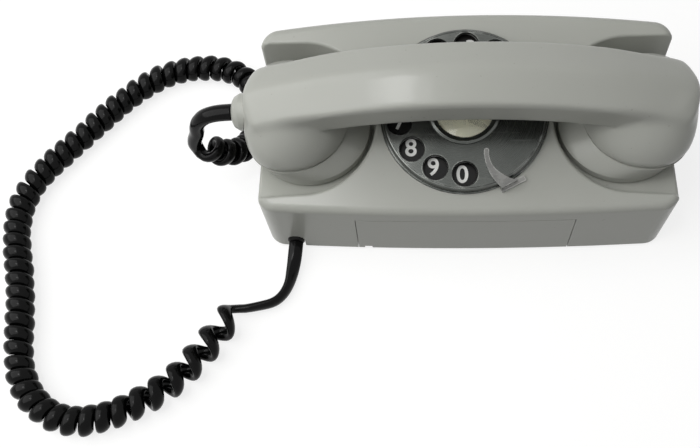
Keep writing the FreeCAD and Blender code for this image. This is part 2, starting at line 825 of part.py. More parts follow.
def cup_solid(side):
    # height, nearest and farthest reach from the middle of the handset, half width, roundness of the end
    outlines = [(8.0, 57.4, 108.6, 30.2, 0.66), (18.0, 59.6, 108.8, 28.4, 0.70)]
    outlines += [(28.0, 65.5, 107.4, 21.5, 0.90), (36.0, 73.0, 103.0, 13.0, 0.92)]
    wires = [cup_wire(side, *outline) for outline in outlines]
    return Part.makeLoft(wires, True, False)


def tip_edges(shape):
    # the upper edges of the handset's rounded ends
    tips = []
    for edge in shape.Edges:
        spots = [vertex.Point for vertex in edge.Vertexes] + [edge_middle(edge)]
        heights = [spot.z for spot in spots]
        strays = [math.hypot(abs(spot.x) - end_reach + end_radius, spot.y) - end_radius for spot in spots]
        if min(heights) > 20 and max(heights) - min(heights) < 9 and max(abs(stray) for stray in strays) < 0.02:
            tips.append(edge)
    return tips


def make_handset_solid():
    handle = handle_solid(eave_half, sole_half, ridge_height, eave_height, sole_height, arch_angle)
    handle = handle.makeFillet(2.4, [e for e in handle.Edges if e.Length > 100 and edge_middle(e).z < 54])
    ridge = [e for e in handle.Edges if e.Length > 100 and edge_middle(e).z > 54]
    handle = handle.makeFillet(ridge_round, ridge)
    middle = end_reach - end_radius
    plan = [block(-middle, middle, -end_radius, end_radius, 0, 80)]
    plan += [disc(end_radius, 0, 80, side * middle) for side in (-1, 1)]
    handle = handle.common(fused(plan))
    handle = handle.makeFillet(2.0, tip_edges(handle))
    return fused([handle, cup_solid(-1), cup_solid(1)])


def make_handset_body():
    body = make_handset_solid()
    necks = []
    hollows = [handle_solid(12.0, 12.5, ridge_height - 3.0, eave_height - 3.0, sole_height + 2.5, 16.0)]
    for side in (-1, 1):
        x = side * neck_centre
        necks.append(disc(neck_radius, 1.6, 9.0, x))
        hollows.append(disc(neck_radius - 3.0, 0.0, 24.0, x))
    return on_seat(fused([body] + necks).cut(hollows))


def cap_solid(side, rings):
    # the cap carries the cup's outline down to a round drum
    top = cup_wire(side, 7.8, 57.7, 108.3, 29.9, 0.66)
    belt = cup_wire(side, -0.8, cup_centre - cap_radius, cup_centre + cap_radius, cap_radius, 0.97)
    less = cap_radius - 0.4
    foot = cup_wire(side, -7.5, cup_centre - less, cup_centre + less, less, 0.97)
    drum = Part.makeLoft([top, belt, foot], True, True)
    lower = [e for e in drum.Edges if e.BoundBox.ZMax < -7.4]
    drum = drum.makeFillet(2.4, lower)
    inside = [(0, -5.5), (15.5, -5.5), (20.9, -4.4), (20.9, -0.7), (22.6, -0.7), (22.6, 1.7), (0, 1.7)]
    holes = [turned(inside, side * cup_centre), disc(neck_radius + running_gap, 1.0, 9.0, side * neck_centre)]
    holes.append(disc(1.3, -10, -4, side * cup_centre))
    for radius, count in rings:
        for n in range(count):
            x, y = polar(radius, 360.0 * n / count)
            holes.append(disc(1.3, -10, -4, side * cup_centre + x, y))
    return on_seat(drum.cut(holes))


def make_receiver_cap():
    return cap_solid(1, [(7.0, 6)])


def make_transmitter_cap():
    return cap_solid(-1, [(6.0, 6), (12.0, 12)])


def capsule_solid(side, depth):
    profile = [(0, -3.4), (17.0, -3.4), (20.0, -2.6), (20.6, -0.7), (22.4, -0.7), (22.4, 1.6), (11.4, 1.6)]
    profile += [(10.0, depth), (0, depth)]
    return on_seat(turned(profile, side * cup_centre))


def make_receiver_capsule():
    return capsule_solid(1, 5.6)


def make_transmitter_capsule():
    return capsule_solid(-1, 4.6)


def make_handset_cord_gland():
    profile = [(strand_radius + 0.2, 104.5), (9.8, 104.5), (9.2, 110.4), (7.6, 113.0), (5.8, -gland_end)]
    profile.append((strand_radius + 0.2, -gland_end))
    boss = turned(profile)
    boss.rotate(origin, y_axis, -90)
    boss.translate(Vector(0, gland_back, gland_height))
    return on_seat(boss.cut(make_handset_solid()))


def route_edges(points, name):
    # straight runs joined by tangent arcs, each as large as its two runs allow
    edges = []
    radii = []
    last = points[0]
    for before, corner, after in zip(points, points[1:], points[2:]):
        run_in = corner - before
        run_out = after - corner
        half_turn = run_in.getAngle(run_out) / 2.0
        trim = 0.45 * min(run_in.Length, run_out.Length)
        radius = trim / math.tan(half_turn)
        way_in = Vector(run_in).normalize()
        way_out = Vector(run_out).normalize()
        inward = (way_out - way_in).normalize()
        start = corner - way_in * trim
        end = corner + way_out * trim
        middle = corner + inward * (radius / math.cos(half_turn) - radius)
        edges.append(Part.LineSegment(last, start).toShape())
        edges.append(Part.Arc(start, middle, end).toShape())
        radii.append(round(radius, 1))
        last = end
    edges.append(Part.LineSegment(last, points[-1]).toShape())
    print(name, "length", round(sum(e.Length for e in edges), 1), "bend radii", radii)
    return edges


def cord_routes():
    # the three stretches, parted half way along the runs between them
    start = seat_place.multVec(Vector(gland_end, gland_back, gland_height))
    finish = Vector(notch_x, notch_front, notch_height)
    first = [start] + [Vector(*p) for p in handset_tail_route]
    curls = [Vector(*p) for p in curl_route]
    last = [Vector(*p) for p in base_tail_route] + [finish]
    upper = (first[-1] + curls[0]) * 0.5
    lower = (curls[-1] + last[0]) * 0.5
    upper_end = upper + (first[-1] - upper).normalize() * tail_gap
    lower_end = lower + (last[0] - lower).normalize() * tail_gap
    return first + [upper_end], [upper] + curls + [lower], [lower_end] + last


def tube(edges, radius):
    # one unbroken round tube along the edges
    path = Part.Wire(edges)
    start = edges[0].valueAt(edges[0].FirstParameter)
    way = edges[0].tangentAt(edges[0].FirstParameter)
    section = Part.Wire([Part.Circle(start, way, radius).toShape()])
    solid = path.makePipeShell([section], True, False)
    area = math.pi * radius * radius
    print("  tube volume", round(solid.Volume, 1), "section times length", round(area * path.Length, 1))
    return solid


def make_cord_handset_tail():
    return tube(route_edges(cord_routes()[0], "handset tail"), strand_radius)


def make_cord_curls():
    # the outer shape of the curls, as one tube along their axis
    return tube(route_edges(cord_routes()[1], "curls"), curl_outer)


def make_cord_base_tail():
    return tube(route_edges(cord_routes()[2], "base tail"), strand_radius)


makers = [
    make_base_housing, make_front_access_panel, make_base_plate, make_rubber_feet, make_base_plate_screws,
    make_handset_cord_grommet, make_line_inlet_grommet, make_dial_bezel_ring, make_number_plate,
    make_finger_wheel, make_dial_card, make_card_cover, make_card_ring, make_finger_stop, make_dial_frame,
    make_dial_frame_screws, make_dial_bridge, make_dial_main_shaft, make_main_gear, make_pulse_cam,
    make_mainspring_barrel, make_mainspring, make_intermediate_gear, make_governor_worm_shaft,
    make_governor_weights, make_governor_cup, make_governor_bearing, make_pulse_contact_stack,
    make_pulse_contact_springs, make_hook_plunger_left, make_hook_plunger_right, make_hook_lever,
    make_hook_lever_brackets, make_hookswitch_contacts, make_network_block, make_terminal_screws,
    make_ringer_gongs, make_gong_posts, make_ringer_frame, make_ringer_coil, make_ringer_clapper,
    make_clapper_pivot, make_handset_body, make_receiver_cap, make_transmitter_cap,
    make_receiver_capsule, make_transmitter_capsule, make_handset_cord_gland, make_cord_handset_tail,
    make_cord_curls, make_cord_base_tail,
]

os.makedirs("parts", exist_ok=True)
for maker in makers:
    node = maker.__name__.replace("make_", "")
    shape = maker()
    shape.exportStep("parts/" + node + ".step")
    print(node, "solids", len(shape.Solids), "valid", shape.isValid(), "volume", round(shape.Volume, 1))
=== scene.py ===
import bisect
import bpy
import json
import math
from mathutils import Matrix, Vector


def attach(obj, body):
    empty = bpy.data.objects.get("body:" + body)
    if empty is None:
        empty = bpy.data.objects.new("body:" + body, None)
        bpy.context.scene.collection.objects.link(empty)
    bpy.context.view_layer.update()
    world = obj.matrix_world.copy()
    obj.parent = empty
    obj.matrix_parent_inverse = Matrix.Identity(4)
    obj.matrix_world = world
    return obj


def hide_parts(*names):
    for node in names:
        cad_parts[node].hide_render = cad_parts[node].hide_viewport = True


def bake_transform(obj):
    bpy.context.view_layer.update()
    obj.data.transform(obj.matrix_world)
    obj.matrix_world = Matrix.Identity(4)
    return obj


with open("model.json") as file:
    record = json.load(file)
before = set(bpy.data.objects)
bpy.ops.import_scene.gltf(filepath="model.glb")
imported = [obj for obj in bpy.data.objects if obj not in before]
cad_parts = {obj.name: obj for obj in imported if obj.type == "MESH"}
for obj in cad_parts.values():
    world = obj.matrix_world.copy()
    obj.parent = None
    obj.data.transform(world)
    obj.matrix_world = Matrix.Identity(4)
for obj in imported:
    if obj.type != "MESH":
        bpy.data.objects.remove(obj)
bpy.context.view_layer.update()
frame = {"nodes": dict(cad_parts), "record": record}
nodes = frame["nodes"]
print("loaded", len(nodes), "nodes")

view = bpy.context.scene.view_settings
view.view_transform = "Standard"

# the dial's middle above the table, and its lean towards the front in degrees
dialSetup = {"height": 0.060, "lean": 20.0}
dialLean = math.radians(dialSetup["lean"])
dialPlace = Matrix.Translation((0, 0, dialSetup["height"])) @ Matrix.Rotation(dialLean, 4, "X")


def deselect():
    if bpy.context.object and bpy.context.object.mode != "OBJECT":
        bpy.ops.object.mode_set(mode="OBJECT")
    bpy.ops.object.select_all(action="DESELECT")


# camera, set up for a frame of 700 by 448
cameraSetup = {
    "place": (-0.022524, -0.248898, 0.411376),
    "turn": 0.17261,       # round the object, in radians
    "height": 1.07891,     # above the table, in radians
    "roll": -0.15709,
    "focalPixels": 850.0,
    "frameWide": 700.0,
    "sensor": 36.0,
    "nearest": 0.01,
}


def makeCamera(c):
    deselect()
    bpy.ops.object.camera_add()
    cam = bpy.context.object
    cam.name = "photoCamera"
    turn = c["turn"]
    roll = c["roll"]
    level = math.cos(c["height"])
    back = Vector((math.sin(turn) * level, -math.cos(turn) * level, math.sin(c["height"])))
    right = Vector((math.cos(turn), math.sin(turn), 0))
    up = back.cross(right)
    rightRolled = right * math.cos(roll) + up * math.sin(roll)
    upRolled = up * math.cos(roll) - right * math.sin(roll)
    basis = Matrix((rightRolled, upRolled, back)).transposed().to_4x4()
    cam.matrix_world = Matrix.Translation(c["place"]) @ basis
    cam.data.sensor_fit = "HORIZONTAL"
    cam.data.sensor_width = c["sensor"]
    cam.data.lens = c["focalPixels"] / c["frameWide"] * c["sensor"]
    cam.data.clip_start = c["nearest"]
    bpy.context.scene.camera = cam


makeCamera(cameraSetup)
print("camera set")

# curly cord: the route's points in mm, from the handset's end to the base
cordSetup = {
    "length": 2.06,           # of the strand, curls and both tails
    "strandWide": 0.0038,     # half widths of the flat-oval strand
    "strandThick": 0.0023,
    "tailWide": 0.0044,       # half widths where it leaves the handset
    "tailThick": 0.0038,
    "slimFrom": -0.002,       # where the tail slims down, in travel past the curls' start
    "slimLength": 0.014,
    "curlsFrom": (-135.6, -5.1, 42.0),
    "curlsTo": (-112.0, -82.6, 3.6),
    "curlRadius": 0.0050,
    "openRadius": 0.0052,
    "tightPitch": 0.0079,
    "openPitch": 0.0128,
    "openLength": 0.100,      # the stretch of opened curls at the base's end
    "openEase": 0.07,
    "pitchWaves": [(0.035, 131.0, 0.0), (0.025, 307.0, 1.0)],     # size, rate and shift
    "radiusWaves": [(0.025, 173.0, 0.0), (0.02, 411.0, 2.0)],
    "firstAngle": -0.25,      # in turns
    "lastAngle": 0.56,
    "startLength": 0.010,     # travel over which the turning starts and stops
    "finishLength": 0.012,
    "finishGap": 0.003,
    "growFrom": -0.012,       # where the strand starts to leave the route's line
    "growLength": 0.014,
    "tipFrom": -0.040,        # where the cord tips over, as it comes down to the table
    "tipLength": 0.110,
    "layFrom": 0.010,         # where it turns from on edge to flat, in travel past the curls' end
    "layLength": 0.034,
    "curlPull": 0.12,         # how fast the wide side turns from ring to ring
    "tailPull": 0.2,
    "sides": 14,
    "pointsPerTurn": 26,
    "longestStep": 0.0012,
    "tailStep": 0.0016,
    "tailGap": 0.0014,        # from the curls' last ring to the tail's first
    "routeSteps": 24,
    "tailUp": [
        (-114.0, -6.0, 70.4), (-121.4, -6.0, 70.3), (-129.4, -5.9, 67.2), (-134.8, -5.6, 60.6),
        (-136.8, -5.4, 52.4),
    ],
    "curls": [
        (-136.4, -5.2, 44.5), (-134.6, -5.0, 37.6), (-130.2, -4.2, 31.8), (-124.6, -1.4, 26.2),
        (-119.2, 4.8, 20.2), (-116.2, 15.4, 13.2), (-114.8, 28.0, 8.2), (-115.2, 41.0, 7.7),
        (-118.2, 53.0, 7.7), (-124.6, 62.5, 7.7), (-134.0, 68.6, 7.7), (-145.5, 71.4, 7.7),
        (-158.0, 71.4, 7.7), (-170.5, 68.6, 7.7), (-183.0, 62.2, 7.7), (-195.5, 50.8, 7.7),
        (-206.8, 38.0, 7.7), (-218.2, 23.0, 7.7), (-230.0, 9.0, 7.7), (-239.2, -3.8, 7.7),
        (-244.8, -17.0, 7.7), (-246.0, -31.0, 7.7), (-243.6, -46.0, 7.7), (-238.2, -63.0, 7.7),
        (-233.4, -81.0, 7.7), (-230.2, -100.0, 7.7), (-226.6, -117.0, 7.7), (-219.6, -130.5, 7.7),
        (-208.5, -140.5, 7.7), (-195.0, -145.4, 7.7), (-181.0, -144.0, 7.8), (-167.0, -138.6, 7.9),
        (-154.0, -131.2, 8.0), (-143.2, -122.4, 8.0), (-134.0, -111.2, 8.0), (-126.4, -99.8, 8.0),
        (-121.6, -91.2, 8.0),
    ],
    "tailDown": [
        (-116.6, -84.6, 5.0), (-106.0, -82.4, 4.5), (-96.6, -79.8, 4.3), (-91.0, -71.4, 4.0),
        (-89.0, -59.4, 5.2), (-88.2, -52.0, 8.0), (-88.0, -47.2, 8.6), (-88.0, -44.0, 8.6),
    ],
}


def ease(share):
    share = min(max(share, 0.0), 1.0)
    return share * share * (3.0 - 2.0 * share)


def uneven(waves, s):
    # about one, so that no two turns are quite alike
    level = 1.0
    for size, rate, shift in waves:
        level += size * math.sin(s * rate + shift)
    return level


def routeLine(c):
    # the smooth line that Blender draws for the route, with the travel to each of its points
    points = c["tailUp"] + c["curls"] + c["tailDown"]
    curve = bpy.data.curves.new("cordRoute", "CURVE")
    curve.dimensions = "3D"
    curve.resolution_u = c["routeSteps"]
    spline = curve.splines.new("NURBS")
    spline.points.add(len(points) - 1)
    for spot, place in zip(spline.points, points):
        spot.co = (place[0] / 1000.0, place[1] / 1000.0, place[2] / 1000.0, 1.0)
    spline.order_u = 3
    spline.use_endpoint_u = True
    bare = bpy.data.objects.new("cordRoute", curve)
    mesh = bpy.data.meshes.new_from_object(bare)
    line = [v.co.copy() for v in mesh.vertices]
    bpy.data.meshes.remove(mesh)
    bpy.data.objects.remove(bare)
    bpy.data.curves.remove(curve)
    travel = [0.0]
    for a, b in zip(line, line[1:]):
        travel.append(travel[-1] + (b - a).length)
    return line, travel


def spotAt(line, travel, s):
    n = min(max(bisect.bisect_right(travel, s) - 1, 0), len(line) - 2)
    share = (s - travel[n]) / max(travel[n + 1] - travel[n], 1e-9)
    return line[n].lerp(line[n + 1], min(max(share, 0.0), 1.0))


def wayAt(line, travel, s):
    reach = 0.0015
    return (spotAt(line, travel, s + reach) - spotAt(line, travel, s - reach)).normalized()


def nearestTravel(line, travel, place):
    best = min(range(len(line)), key=lambda n: (line[n] - place).length)
    return travel[best]


def openShare(c, s, length):
    # nought in the tight curls, one in the opened ones
    return ease((s - length + c["openLength"]) / c["openEase"])


def curlRate(c, s, length):
    # turns for each metre of travel, easing in and out at the tails
    pitch = c["tightPitch"] + (c["openPitch"] - c["tightPitch"]) * openShare(c, s, length)
    pitch *= uneven(c["pitchWaves"], s)
    return ease(s / c["startLength"]) * ease((length - s - c["finishGap"]) / c["finishLength"]) / pitch


def curlStations(c, length):
    # travel and turns at each point of the helix
    step = 0.00005
    count = int(length / step)
    drawn = sum(step * curlRate(c, step * n, length) for n in range(count))
    total = round(drawn + c["firstAngle"] - c["lastAngle"]) + c["lastAngle"] - c["firstAngle"]
    stations = [(0.0, 0.0)]
    turns = 0.0
    for n in range(count + 1):
        s = step * n
        if turns * c["pointsPerTurn"] >= len(stations) or s - stations[-1][0] > c["longestStep"]:
            stations.append((s, turns))
        turns += step * curlRate(c, s, length) * total / drawn
    print("cord turns", round(total, 2))
    return stations


def cordPoints(c):
    # each ring's middle, where its wide side aims, how fast it turns, and its share of the tail's size
    line, travel = routeLine(c)
    start = nearestTravel(line, travel, Vector(c["curlsFrom"]) * 0.001)
    finish = nearestTravel(line, travel, Vector(c["curlsTo"]) * 0.001)
    length = finish - start
    stations = curlStations(c, length)
    halfStep = c["tailStep"] / 2
    places = []
    s = 0.0
    while s < start - halfStep:
        places.append((s, 0.0))
        s += c["tailStep"]
    places += [(start + s, turns) for s, turns in stations]
    s = finish + c["tailGap"]
    while s < travel[-1] - halfStep:
        places.append((s, stations[-1][1]))
        s += c["tailStep"]
    places.append((travel[-1], stations[-1][1]))
    rings = []
    for s, turns in places:
        inside = s - start
        centre = spotAt(line, travel, s)
        way = wayAt(line, travel, s)
        tip = math.pi * ease((inside - c["tipFrom"]) / c["tipLength"])
        side = Vector((-math.sin(tip), 0, math.cos(tip))).cross(way).normalized()
        up = way.cross(side)
        grow = ease((inside - c["growFrom"]) / c["growLength"])
        grow *= ease((length - inside) / c["finishLength"])
        radius = c["curlRadius"] + (c["openRadius"] - c["curlRadius"]) * openShare(c, inside, length)
        radius *= grow * uneven(c["radiusWaves"], inside)
        angle = 2.0 * math.pi * (turns + c["firstAngle"])
        spot = centre + side * (radius * math.cos(angle)) - up * (radius * math.sin(angle))
        fat = 1.0 - ease((inside - c["slimFrom"]) / c["slimLength"])
        lay = ease((inside - length - c["layFrom"]) / c["layLength"])
        tail = side if inside < 0.0 else up * (1.0 - lay) + side * lay
        aim = way * grow + tail * (1.0 - grow)
        pull = c["curlPull"] if 0.0 < inside < length else c["tailPull"]
        rings.append((spot, aim, pull, fat))
    return rings


def makeCord(c):
    rings = cordPoints(c)
    spots = [r[0] for r in rings]
    sides = c["sides"]
    verts = []
    faces = []
    wide = rings[0][1]
    for n, (spot, aim, pull, fat) in enumerate(rings):
        ahead = (spots[min(n + 1, len(spots) - 1)] - spots[max(n - 1, 0)]).normalized()
        if aim.dot(wide) < 0.0:
            aim = -aim
        wide = wide.lerp(aim, pull)     # turns over slowly, so that the strand doesn't pinch
        wide = (wide - ahead * wide.dot(ahead)).normalized()
        thick = ahead.cross(wide)
        halfWide = c["strandWide"] + (c["tailWide"] - c["strandWide"]) * fat
        halfThick = c["strandThick"] + (c["tailThick"] - c["strandThick"]) * fat
        for k in range(sides):
            turn = 2.0 * math.pi * k / sides
            verts.append(spot + wide * (halfWide * math.cos(turn)) + thick * (halfThick * math.sin(turn)))
    for n in range(len(rings) - 1):
        for k in range(sides):
            a = n * sides + k
            b = n * sides + (k + 1) % sides
            faces.append((a, b, b + sides, a + sides))
    faces.append(tuple(reversed(range(sides))))
    faces.append(tuple(range(len(verts) - sides, len(verts))))
    mesh = bpy.data.meshes.new("curlyCord")
    mesh.from_pydata(verts, [], faces)
    mesh.validate()
    made = bpy.data.objects.new("curlyCord", mesh)
    bpy.context.collection.objects.link(made)
    deselect()
    made.select_set(True)
    bpy.context.view_layer.objects.active = made
    bpy.ops.object.shade_smooth()
    length = sum((b - a).length for a, b in zip(spots, spots[1:]))
    print("cord strand", round(length, 3), "m")
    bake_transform(made)
    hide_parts("cord_handset_tail", "cord_curls", "cord_base_tail")
    return made


cord = makeCord(cordSetup)

# handset: the moulded body with its ends flowing softly into the cups
handsetSetup = {
    "merge": 0.000005,      # joins the CAD copy's loose triangles
    "voxel": 0.0011,
    "softFrom": 0.064,      # distance from the middle
    "softTo": 0.088,
    "softPasses": 44,
    "edgePasses": 2,
    "smoothing": 0.5,
}


def makeHandset(c):
    made = bpy.data.objects.new("handsetShell", nodes["handset_body"].data.copy())
    bpy.context.collection.objects.link(made)
    deselect()
    made.select_set(True)
    bpy.context.view_layer.objects.active = made
    bpy.ops.object.mode_set(mode="EDIT")
    bpy.ops.mesh.select_all(action="SELECT")
    bpy.ops.mesh.remove_doubles(threshold=c["merge"])
    bpy.ops.object.mode_set(mode="OBJECT")
    remesh = made.modifiers.new("even", "REMESH")
    remesh.mode = "VOXEL"
    remesh.voxel_size = c["voxel"]
    bpy.ops.object.modifier_apply(modifier="even")
    ends = made.vertex_groups.new(name="ends")
    for v in made.data.vertices:
        share = ease((abs(v.co.x) - c["softFrom"]) / (c["softTo"] - c["softFrom"]))
        ends.add([v.index], share, "REPLACE")
    for name, passes, group in (("flow", c["softPasses"], "ends"), ("edges", c["edgePasses"], "")):
        smooth = made.modifiers.new(name, "SMOOTH")
        smooth.factor = c["smoothing"]
        smooth.iterations = passes
        smooth.vertex_group = group
        bpy.ops.object.modifier_apply(modifier=name)
    made.vertex_groups.clear()
    bpy.ops.object.shade_smooth()
    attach(made, "handset")
    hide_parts("handset_body")
    return made


handset = makeHandset(handsetSetup)
print("handset made")

# numbers printed on the plate under the wheel
numberSetup = {
    "radius": 0.0324,
    "height": -0.00097,
    "size": 0.0122,
    "bold": 0.00020,
    "depth": 0.00002,
    "firstAngle": 268.0,
    "pitch": 26.4,
    "order": "0987654321",
}


def makeNumbers(c):
    made = []
    for n, digit in enumerate(c["order"]):
        deselect()
        bpy.ops.object.text_add()
        text = bpy.context.object
        text.data.body = digit
        text.data.size = c["size"]
        text.data.offset = c["bold"]
        text.data.extrude = c["depth"]
        text.data.align_x = "CENTER"
        text.data.align_y = "CENTER"
        bpy.ops.object.convert(target="MESH")
        mark = bpy.context.object
        angle = math.radians(c["firstAngle"] - c["pitch"] * n)
        spot = Vector((c["radius"] * math.cos(angle), c["radius"] * math.sin(angle), c["height"]))
        mark.data.transform(dialPlace @ Matrix.Translation(spot))
        made.append(mark)
    deselect()
    for mark in made:
        mark.select_set(True)
    bpy.context.view_layer.objects.active = made[0]
    bpy.ops.object.join()
    numbers = bpy.context.object
    numbers.name = "dialNumbers"
    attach(numbers, "base")
    return numbers


numbers = makeNumbers(numberSetup)
print("numbers made")

# finishes, one for each of the record's slots and one for the printed numbers
# lighter edges are partly wear and partly a painted highlight along the edges, specks are fine marks,
# scuff roughens in streaks, spun gives polishing rings
finishes = {
    "housing_grey": {
        "base": (0.385, 0.392, 0.356), "other": (0.41, 0.416, 0.382),
        "rough": 0.35, "roughSpread": 0.06, "patch": 9.0, "grain": 700.0, "bump": 0.03,
        "coat": 0.24, "gloss": 0.2, "scuff": 0.08,
        # edges painted lighter: partly wear, partly a painted highlight along the rounded edges
        "wearAndHighlight": (0.47, 0.47, 0.43), "wearAndHighlightShare": 0.5,
        "specks": (0.3, 0.295, 0.26), "speckScale": 520.0, "speckFrom": 0.74,
    },
    "plated_steel": {
        "base": (0.52, 0.51, 0.46), "other": (0.62, 0.6, 0.52),
        "rough": 0.34, "roughSpread": 0.14, "patch": 40.0, "grain": 700.0, "bump": 0.06,
        "metal": 1.0, "scuff": 0.12,
    },
    "bright_steel": {
        "base": (0.62, 0.62, 0.61), "other": (0.72, 0.72, 0.7),
        "rough": 0.22, "roughSpread": 0.1, "patch": 60.0, "grain": 900.0, "bump": 0.04,
        "metal": 1.0, "scuff": 0.1,
    },
    "black_rubber": {
        "base": (0.004, 0.004, 0.004), "other": (0.009, 0.009, 0.0085),
        "rough": 0.42, "roughSpread": 0.14, "patch": 60.0, "grain": 1500.0, "bump": 0.12,
        "gloss": 0.1,
        # edges painted a little lighter: partly wear, partly a painted highlight
        "wearAndHighlight": (0.02, 0.02, 0.019), "wearAndHighlightShare": 0.5,
    },
    "wheel_grey": {
        "base": (0.075, 0.08, 0.075), "other": (0.11, 0.115, 0.108),
        "rough": 0.26, "roughSpread": 0.08, "patch": 26.0, "grain": 1200.0, "bump": 0.02,
        "metal": 1.0, "scuff": 0.1, "spun": 2600.0,
        # edges painted much lighter: a painted highlight on the wheel's rim and finger-hole edges
        "wearAndHighlight": (0.36, 0.37, 0.35), "wearAndHighlightShare": 0.75,
    },
    "plate_black": {
        "base": (0.01, 0.01, 0.01), "other": (0.018, 0.018, 0.017),
        "rough": 0.3, "roughSpread": 0.08, "patch": 50.0, "grain": 900.0, "bump": 0.04,
        "gloss": 0.15,
        # edges painted a little lighter: partly wear, partly a painted highlight
        "wearAndHighlight": (0.03, 0.03, 0.029), "wearAndHighlightShare": 0.5,
    },
    "card_cream": {
        "base": (0.84, 0.83, 0.66), "other": (0.9, 0.89, 0.75),
        "rough": 0.7, "roughSpread": 0.08, "patch": 90.0, "grain": 2500.0, "bump": 0.08,
        "specks": (0.42, 0.39, 0.28), "speckScale": 900.0, "speckFrom": 0.68,
    },
    "stop_steel": {
        "base": (0.15, 0.15, 0.145), "other": (0.2, 0.2, 0.19),
        "rough": 0.28, "roughSpread": 0.1, "patch": 90.0, "grain": 1400.0, "bump": 0.05,
        "metal": 1.0, "scuff": 0.12,
        # edges painted much lighter: a painted highlight along the stop's edges
        "wearAndHighlight": (0.48, 0.48, 0.46), "wearAndHighlightShare": 0.6,
    },
    "gear_brass": {
        "base": (0.6, 0.44, 0.18), "other": (0.7, 0.53, 0.24),
        "rough": 0.3, "roughSpread": 0.12, "patch": 60.0, "grain": 900.0, "bump": 0.05,
        "metal": 1.0, "scuff": 0.1,
    },
    "inner_plastic": {
        "base": (0.05, 0.045, 0.04), "other": (0.08, 0.07, 0.06),
        "rough": 0.48, "roughSpread": 0.12, "patch": 40.0, "grain": 900.0, "bump": 0.1,
    },
    "coil_winding": {
        "base": (0.3, 0.1, 0.035), "other": (0.42, 0.16, 0.06),
        "rough": 0.35, "roughSpread": 0.1, "patch": 60.0, "grain": 1600.0, "bump": 0.2,
    },
    "cord_black": {
        "base": (0.0015, 0.0016, 0.0016), "other": (0.003, 0.003, 0.003),
        "rough": 0.15, "roughSpread": 0.06, "patch": 70.0, "grain": 900.0, "bump": 0.04,
        "gloss": 0.11, "scuff": 0.12,
        "specks": (0.016, 0.015, 0.014), "speckScale": 600.0, "speckFrom": 0.68,
    },
    "number_white": {
        "base": (0.88, 0.88, 0.85), "other": (0.93, 0.93, 0.9),
        "rough": 0.45, "roughSpread": 0.08, "patch": 120.0, "grain": 1500.0, "bump": 0.04,
    },
}

# what all the finishes share
surfaceSetup = {
    "coatRough": 0.14,
    "patchFrom": 0.30,
    "patchTo": 0.70,
    "speckSoft": 0.05,
    "speckShare": 0.8,
    "gatherScale": 23.0,      # specks gather in places
    "wearAndHighlightReach": 0.0009,
    "wearAndHighlightBreak": 160.0,       # breaks the lighter edges up, both the wear and the painted highlight
    "wearRough": 0.08,
    "scuffStretch": (30.0, 420.0, 300.0),
    "scuffTurn": (0.2, 0.1, 0.35),
    "spunRough": 0.10,
    "bumpDepth": 0.0004,
}


def addNoise(tree, place, scale, detail):
    noise = tree.nodes.new("ShaderNodeTexNoise")
    noise.inputs["Scale"].default_value = scale
    noise.inputs["Detail"].default_value = detail
    tree.links.new(place, noise.inputs["Vector"])
    return noise.outputs["Fac"]


def addRange(tree, value, fromLow, fromHigh, low, high):
    span = tree.nodes.new("ShaderNodeMapRange")
    span.interpolation_type = "SMOOTHSTEP"
    span.inputs["From Min"].default_value = fromLow
    span.inputs["From Max"].default_value = fromHigh
    span.inputs["To Min"].default_value = low
    span.inputs["To Max"].default_value = high
    tree.links.new(value, span.inputs["Value"])
    return span.outputs["Result"]


def addMath(tree, kind, a, b):
    reckon = tree.nodes.new("ShaderNodeMath")
    reckon.operation = kind
    for n, value in enumerate((a, b)):
        if isinstance(value, float):
            reckon.inputs[n].default_value = value
        else:
            tree.links.new(value, reckon.inputs[n])
    return reckon.outputs[0]


def addMix(tree, share, first, second):
    mix = tree.nodes.new("ShaderNodeMix")
    mix.data_type = "RGBA"
    tree.links.new(share, mix.inputs[0])
    for socket, color in ((mix.inputs[6], first), (mix.inputs[7], second)):
        if isinstance(color, tuple):
            socket.default_value = (*color, 1)
        else:
            tree.links.new(color, socket)
    return mix.outputs[2]


def addStretched(tree, place, stretch, turn):
    lay = tree.nodes.new("ShaderNodeMapping")
    lay.inputs["Scale"].default_value = stretch
    lay.inputs["Rotation"].default_value = turn
    tree.links.new(place, lay.inputs["Vector"])
    return lay.outputs["Vector"]


def edgeMask(tree, reach):
    # one along edges and corners, nought on open faces
    soft = tree.nodes.new("ShaderNodeBevel")
    soft.samples = 6
    soft.inputs["Radius"].default_value = reach
    flat = tree.nodes.new("ShaderNodeNewGeometry")
    dot = tree.nodes.new("ShaderNodeVectorMath")
    dot.operation = "DOT_PRODUCT"
    tree.links.new(soft.outputs["Normal"], dot.inputs[0])
    tree.links.new(flat.outputs["Normal"], dot.inputs[1])
    return addRange(tree, dot.outputs["Value"], 0.99, 0.90, 0.0, 1.0)


def spunLines(tree, place, scale):
    # fine rings round the dial's axis, left by the polishing
    lay = tree.nodes.new("ShaderNodeMapping")
    lay.vector_type = "TEXTURE"
    lay.inputs["Location"].default_value = (0, 0, dialSetup["height"])
    lay.inputs["Rotation"].default_value = (dialLean, 0, 0)
    tree.links.new(place, lay.inputs["Vector"])
    apart = tree.nodes.new("ShaderNodeSeparateXYZ")
    tree.links.new(lay.outputs["Vector"], apart.inputs[0])
    across = addMath(tree, "MULTIPLY", apart.outputs[0], apart.outputs[0])
    along = addMath(tree, "MULTIPLY", apart.outputs[1], apart.outputs[1])
    reach = addMath(tree, "SQRT", addMath(tree, "ADD", across, along), 0.0)
    together = tree.nodes.new("ShaderNodeCombineXYZ")
    tree.links.new(reach, together.inputs[0])
    return addNoise(tree, together.outputs[0], scale, 4.0)


